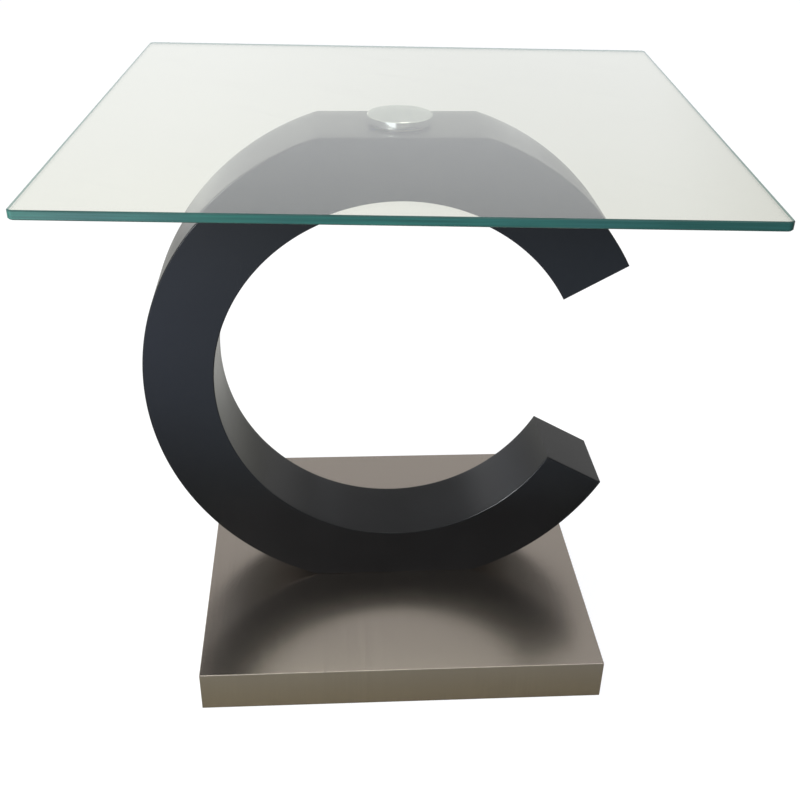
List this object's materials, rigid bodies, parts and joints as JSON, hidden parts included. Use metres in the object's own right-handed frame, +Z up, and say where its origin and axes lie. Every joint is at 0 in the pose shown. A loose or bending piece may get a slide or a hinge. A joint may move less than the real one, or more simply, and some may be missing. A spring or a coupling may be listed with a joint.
{
  "type": "glass-top side table",
  "caption": "Square clear glass top that turns on one bonded metal disc, on a C-shaped dark lacquered column and a square plinth clad in brushed steel.",
  "frame": {"origin": "on the floor, at the centre of the table's box, straight below the pivot of the glass top", "axes": "+X to the right, towards the open side of the C; +Y to the back; +Z up"},
  "size_m": [0.6328, 0.6328, 0.585],
  "materials": {
    "clear_glass": "clear toughened float glass with polished, green-tinted edges",
    "bond_film": "clear cured adhesive",
    "polished_disc": "turned and polished, bright plated",
    "brushed_sheet": "fine brushed stainless sheet, warm grey",
    "lacquer": "near-black satin lacquer on fibreboard and bent ply",
    "raw_board": "raw fibreboard and softwood, hidden inside",
    "zinc_steel": "bright zinc-plated steel",
    "nylon": "natural nylon",
    "black_plastic": "black moulded plastic",
    "underlay_sheet": "black-faced thin board"
  },
  "bodies": {
    "stand": {"back_panel": "lacquer", "foot_glides": "black_plastic", "front_panel": "lacquer", "glide_screws": "zinc_steel", "inner_skin": "lacquer", "lower_end_cap": "lacquer", "outer_skin_left": "lacquer", "outer_skin_lower": "lacquer", "outer_skin_upper": "lacquer", "pivot_sleeve": "zinc_steel", "pivot_washer": "nylon", "plinth_bolts": "zinc_steel", "plinth_cladding": "brushed_sheet", "plinth_lower_board": "raw_board", "plinth_underlay": "underlay_sheet", "plinth_upper_board": "raw_board", "plinth_washers": "zinc_steel", "pocket_cover": "black_plastic", "rib_left_1": "raw_board", "rib_left_2": "raw_board", "rib_left_3": "raw_board", "rib_left_4": "raw_board", "rib_left_5": "raw_board", "rib_lower": "raw_board", "rib_upper": "raw_board", "seat_block": "raw_board", "seat_board": "lacquer", "threaded_inserts": "zinc_steel", "thrust_washer": "nylon", "top_block": "raw_board", "top_flat_board": "lacquer", "upper_end_cap": "lacquer"},
    "top": {"glass_top": "clear_glass", "bond_film": "bond_film", "bond_disc": "polished_disc", "pivot_bolt": "zinc_steel"}
  },
  "joints": [
    {"name": "top_swivel", "type": "hinge", "parent": "stand", "child": "top", "pos_m": [0, 0, 0.567], "axis": [0, 0, 1], "continuous": true}
  ]
}
